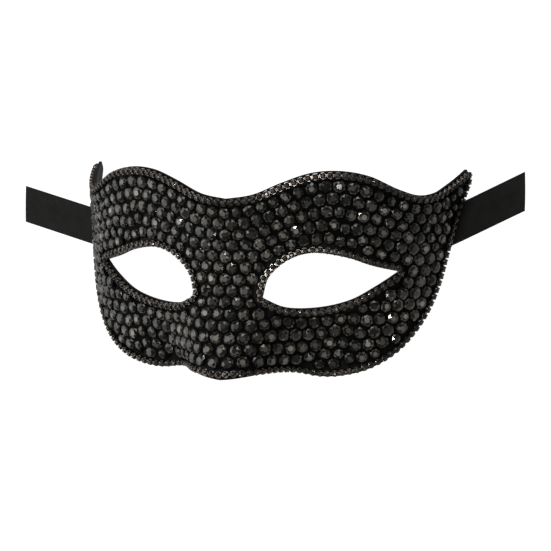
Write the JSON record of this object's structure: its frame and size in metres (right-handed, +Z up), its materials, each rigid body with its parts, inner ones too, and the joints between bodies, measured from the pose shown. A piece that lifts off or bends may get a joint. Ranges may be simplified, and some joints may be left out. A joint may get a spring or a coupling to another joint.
{
  "type": "rhinestone masquerade mask",
  "caption": "Half-face masquerade mask covered in black cut stones, with small stone chains round the rim and eyes and ribbon ties at the sides, lying face up.",
  "frame": {"origin": "middle of the underside of the mask and its ribbons as they lie on a surface", "axes": "+X across the face to the wearer's left, +Y towards the mask's top edge, +Z up out of the mask's front"},
  "size_m": [0.24, 0.1056, 0.0585],
  "materials": {
    "shell": "smooth black moulded shell, low sheen",
    "stones": "polished jet-black cut stones",
    "chain": "dark warm plated cups holding small black stones",
    "ribbon": "matte black woven ribbon"
  },
  "bodies": {
    "root": {"mask_shell": "shell", "stone_field": "stones", "edge_chain": "chain", "eye_chain_right": "chain", "eye_chain_left": "chain", "ribbon_right": "ribbon", "ribbon_left": "ribbon"}
  },
  "joints": []
}
